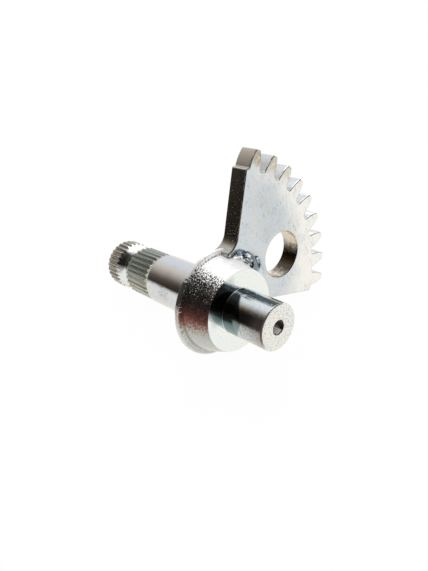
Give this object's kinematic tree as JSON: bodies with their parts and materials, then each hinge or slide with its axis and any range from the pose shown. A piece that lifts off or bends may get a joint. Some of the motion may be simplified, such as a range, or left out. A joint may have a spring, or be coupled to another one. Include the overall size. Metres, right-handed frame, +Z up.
{
  "type": "shift shaft",
  "caption": "Short stepped shaft with a conical collar, a serrated lever end and a toothed sector plate welded beside the collar.",
  "frame": {"origin": "on the shaft's axis, at the collar's front face, where the plain journal begins", "axes": "+Z up as the part lies at rest; +X is the shaft's axis towards the plain journal, seen from above; +Y is towards the toothed sector. The shaft's axis rises towards the journal by 10.37 degrees, and the sector's hole stands 8.56 degrees above level about it."},
  "size_m": [0.0627, 0.0532, 0.048],
  "materials": {
    "plated_shaft": "bright zinc plate on turned steel",
    "plated_sector": "bright zinc plate on stamped steel",
    "plated_weld": "zinc plate on a rippled weld bead"
  },
  "bodies": {
    "root": {"splined_shaft": "plated_shaft", "gear_sector": "plated_sector", "weld_bead": "plated_weld"}
  },
  "joints": []
}
